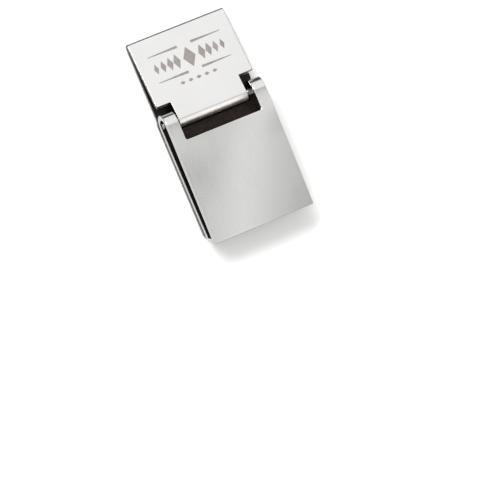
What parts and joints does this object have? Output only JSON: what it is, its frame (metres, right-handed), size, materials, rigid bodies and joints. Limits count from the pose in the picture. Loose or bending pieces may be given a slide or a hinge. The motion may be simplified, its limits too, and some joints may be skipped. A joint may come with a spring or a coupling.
{
  "type": "money clip",
  "caption": "Hinged money clip: a folded sheet body with a face plate, and a looped clamp lever that flips over on a pin to grip folded notes.",
  "frame": {"origin": "bottom centre of the whole object, which lies on its back plate", "axes": "+Z out of the front, +Y towards the folded top edge along the clip's length, X across, along the hinge pin"},
  "size_m": [0.0236, 0.0464, 0.0083],
  "materials": {
    "polished_body": "polished plate with a satin glow and fine handling scratches",
    "polished_lever": "polished plate with a satin glow and fine handling scratches",
    "pin_steel": "turned steel",
    "spring_steel": "rolled spring steel",
    "rivet_steel": "pressed steel"
  },
  "bodies": {
    "body": {"body_strip": "polished_body", "detent_spring": "spring_steel", "spring_rivet_left": "rivet_steel", "spring_rivet_right": "rivet_steel"},
    "lever": {"clamp_lever": "polished_lever", "hinge_pin": "pin_steel"}
  },
  "joints": [
    {"name": "lever_flip", "type": "hinge", "parent": "body", "child": "lever", "pos_m": [0, 0.00415, 0.0044], "axis": [-1, 0, 0], "range_deg": [-4, 93]}
  ]
}
